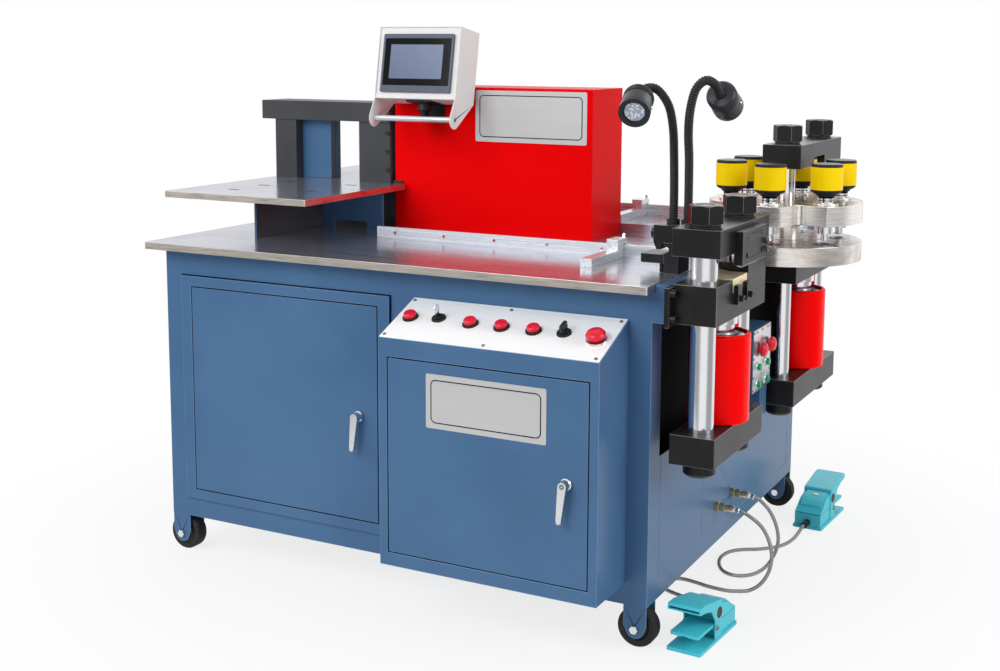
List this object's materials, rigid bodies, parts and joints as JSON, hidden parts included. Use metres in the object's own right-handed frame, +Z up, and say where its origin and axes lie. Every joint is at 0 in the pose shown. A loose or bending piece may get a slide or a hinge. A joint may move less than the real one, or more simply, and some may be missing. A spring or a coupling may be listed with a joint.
{
  "type": "busbar processing machine",
  "caption": "Wheeled cabinet with a bending station under a small table, a hydraulic shear, a turret punch, a control box and foot switches.",
  "frame": {"origin": "on the floor under the middle of the machine's bounding box", "axes": "+X to the right, towards the presses; +Y to the back; +Z up"},
  "size_m": [1.8474, 1.4583, 1.5014],
  "materials": {
    "blue": "satin blue paint",
    "steel": "ground",
    "black": "black oxide",
    "slate": "satin grey paint",
    "red": "gloss red paint",
    "yellow": "yellow anodised sleeve with black cap",
    "white": "satin white paint",
    "silver": "satin",
    "teal": "teal cast housing",
    "brass": "bright",
    "chrome": "polished",
    "button_red": "moulded",
    "tyre": "moulded",
    "braid": "braided",
    "screen": "dark glass in a slate bezel",
    "black_plastic": "moulded"
  },
  "bodies": {
    "machine": {"cabinet": "blue", "table": "steel", "rear_table": "steel", "rails": "steel", "bend_support": "blue", "bend_plate": "steel", "bend_frame": "slate", "housing": "red", "control_box": "blue", "slope_panel": "white", "press_bases": "black", "shear_fixtures": "black", "lamps": "black", "side_box": "blue", "foot_front": "teal", "foot_rear": "teal", "glands": "brass", "hose_a": "braid", "hose_b": "braid", "bolts": "steel", "inner_units": "slate"},
    "left_door": {"left_door": "blue"},
    "left_handle": {"left_handle": "chrome"},
    "control_door": {"control_door": "blue"},
    "control_handle": {"control_handle": "chrome"},
    "button_1": {"button_1": "button_red"},
    "button_2": {"button_2": "button_red"},
    "button_3": {"button_3": "button_red"},
    "button_4": {"button_4": "button_red"},
    "estop": {"estop": "button_red"},
    "key_switch": {"key_switch": "chrome"},
    "lever_switch": {"lever_switch": "black_plastic"},
    "screen": {"hmi_box": "white", "hmi_panel": "screen"},
    "bend_ram": {"bend_ram": "steel"},
    "shear": {"shear_head": "black", "shear_rods": "chrome", "shear_yoke": "black", "shear_cylinder": "red"},
    "punch": {"punch_crosshead": "black", "punch_rods": "chrome", "punch_yoke": "black", "punch_cylinder": "red"},
    "turret": {"turret": "steel"},
    "punch_head": {"punch_head": "yellow"},
    "punch_2": {"punch_2": "yellow"},
    "punch_3": {"punch_3": "yellow"},
    "punch_4": {"punch_4": "yellow"},
    "punch_5": {"punch_5": "yellow"},
    "punch_6": {"punch_6": "yellow"},
    "mushroom_1": {"mushroom_1": "button_red"},
    "mushroom_2": {"mushroom_2": "button_red"},
    "wheel_fl": {"wheel_fl": "tyre"},
    "wheel_rl": {"wheel_rl": "tyre"},
    "wheel_fr": {"wheel_fr": "tyre"},
    "wheel_rr": {"wheel_rr": "tyre"},
    "stop_front": {"stop_front": "silver"},
    "stop_rear": {"stop_rear": "silver"},
    "foot_front_pedal": {"foot_front_pedal": "teal"},
    "foot_rear_pedal": {"foot_rear_pedal": "teal"}
  },
  "joints": [
    {"name": "left_door_hinge", "type": "hinge", "parent": "machine", "child": "left_door", "pos_m": [-0.74875, -0.533, 0.486], "axis": [0, 0, -1], "range_deg": [0, 105]},
    {"name": "left_handle_turn", "type": "hinge", "parent": "left_door", "child": "left_handle", "pos_m": [-0.20075, -0.551, 0.48], "axis": [0, -1, 0], "range_deg": [0, 90]},
    {"name": "control_door_hinge", "type": "hinge", "parent": "machine", "child": "control_door", "pos_m": [-0.00275, -0.694, 0.444], "axis": [0, 0, -1], "range_deg": [0, 105]},
    {"name": "control_handle_turn", "type": "hinge", "parent": "control_door", "child": "control_handle", "pos_m": [0.47625, -0.711, 0.446], "axis": [0, -1, 0], "range_deg": [0, 90]},
    {"name": "button_1_press", "type": "slide", "parent": "machine", "child": "button_1", "axis": [0, 0.3827, -0.9239], "range_m": [0, 0.004], "stiffness_N_per_m": 400},
    {"name": "button_2_press", "type": "slide", "parent": "machine", "child": "button_2", "axis": [0, 0.3827, -0.9239], "range_m": [0, 0.004], "stiffness_N_per_m": 400},
    {"name": "button_3_press", "type": "slide", "parent": "machine", "child": "button_3", "axis": [0, 0.3827, -0.9239], "range_m": [0, 0.004], "stiffness_N_per_m": 400},
    {"name": "button_4_press", "type": "slide", "parent": "machine", "child": "button_4", "axis": [0, 0.3827, -0.9239], "range_m": [0, 0.004], "stiffness_N_per_m": 400},
    {"name": "estop_press", "type": "slide", "parent": "machine", "child": "estop", "axis": [0, 0.3827, -0.9239], "range_m": [0, 0.005], "stiffness_N_per_m": 600},
    {"name": "key_turn", "type": "hinge", "parent": "machine", "child": "key_switch", "pos_m": [0.08325, -0.60811, 0.77806], "axis": [0, -0.3827, 0.9239], "range_deg": [-90, 0]},
    {"name": "lever_turn", "type": "hinge", "parent": "machine", "child": "lever_switch", "pos_m": [0.42525, -0.6118, 0.77653], "axis": [0, -0.3827, 0.9239], "range_deg": [-90, 0]},
    {"name": "screen_tilt", "type": "hinge", "parent": "machine", "child": "screen", "pos_m": [-0.29725, -0.041, 1.262], "axis": [1, 0, 0], "range_deg": [0, 15]},
    {"name": "bend_ram_slide", "type": "slide", "parent": "machine", "child": "bend_ram", "axis": [-1, 0, 0], "range_m": [0, 0.12]},
    {"name": "shear_stroke", "type": "slide", "parent": "machine", "child": "shear", "axis": [0, 0, -1], "range_m": [0, 0.04]},
    {"name": "punch_stroke", "type": "slide", "parent": "machine", "child": "punch", "axis": [0, 0, -1], "range_m": [0, 0.016]},
    {"name": "turret_turn", "type": "hinge", "parent": "machine", "child": "turret", "pos_m": [0.71875, 0.176, 0.93], "axis": [0, 0, 1], "continuous": true},
    {"name": "punch_head_stroke", "type": "slide", "parent": "turret", "child": "punch_head", "axis": [0, 0, -1], "range_m": [0, 0.016]},
    {"name": "punch_2_stroke", "type": "slide", "parent": "turret", "child": "punch_2", "axis": [0, 0, -1], "range_m": [0, 0.016], "stiffness_N_per_m": 4000, "springref_m": -0.03},
    {"name": "punch_3_stroke", "type": "slide", "parent": "turret", "child": "punch_3", "axis": [0, 0, -1], "range_m": [0, 0.016], "stiffness_N_per_m": 4000, "springref_m": -0.03},
    {"name": "punch_4_stroke", "type": "slide", "parent": "turret", "child": "punch_4", "axis": [0, 0, -1], "range_m": [0, 0.016], "stiffness_N_per_m": 4000, "springref_m": -0.03},
    {"name": "punch_5_stroke", "type": "slide", "parent": "turret", "child": "punch_5", "axis": [0, 0, -1], "range_m": [0, 0.016], "stiffness_N_per_m": 4000, "springref_m": -0.03},
    {"name": "punch_6_stroke", "type": "slide", "parent": "turret", "child": "punch_6", "axis": [0, 0, -1], "range_m": [0, 0.016], "stiffness_N_per_m": 4000, "springref_m": -0.03},
    {"name": "mushroom_1_press", "type": "slide", "parent": "machine", "child": "mushroom_1", "axis": [-1, 0, 0], "range_m": [0, 0.005], "stiffness_N_per_m": 500},
    {"name": "mushroom_2_press", "type": "slide", "parent": "machine", "child": "mushroom_2", "axis": [-1, 0, 0], "range_m": [0, 0.005], "stiffness_N_per_m": 500},
    {"name": "wheel_fl_spin", "type": "hinge", "parent": "machine", "child": "wheel_fl", "pos_m": [-0.81975, -0.5, 0.05], "axis": [0, 1, 0], "continuous": true},
    {"name": "wheel_rl_spin", "type": "hinge", "parent": "machine", "child": "wheel_rl", "pos_m": [-0.81975, 0.674, 0.05], "axis": [0, 1, 0], "continuous": true},
    {"name": "wheel_fr_spin", "type": "hinge", "parent": "machine", "child": "wheel_fr", "pos_m": [0.58225, -0.5, 0.05], "axis": [0, 1, 0], "continuous": true},
    {"name": "wheel_rr_spin", "type": "hinge", "parent": "machine", "child": "wheel_rr", "pos_m": [0.58225, 0.674, 0.05], "axis": [0, 1, 0], "continuous": true},
    {"name": "stop_front_slide", "type": "slide", "parent": "machine", "child": "stop_front", "axis": [1, 0, 0], "range_m": [-0.6, 0.1]},
    {"name": "stop_rear_slide", "type": "slide", "parent": "machine", "child": "stop_rear", "axis": [1, 0, 0], "range_m": [-0.45, 0.2]},
    {"name": "foot_front_press", "type": "hinge", "parent": "machine", "child": "foot_front_pedal", "pos_m": [0.70357, -0.39476, 0.036], "axis": [0.9976, -0.0698, 0], "range_deg": [0, 10], "stiffness_Nm_per_rad": 3, "springref_deg": -5.73},
    {"name": "foot_rear_press", "type": "hinge", "parent": "machine", "child": "foot_rear_pedal", "pos_m": [0.73276, 0.62314, 0.036], "axis": [-0.9986, 0.0523, 0], "range_deg": [0, 10], "stiffness_Nm_per_rad": 3, "springref_deg": -5.73}
  ],
  "couplings": [
    {"joint": "punch_head_stroke", "follows": "punch_stroke", "ratio": 1}
  ]
}
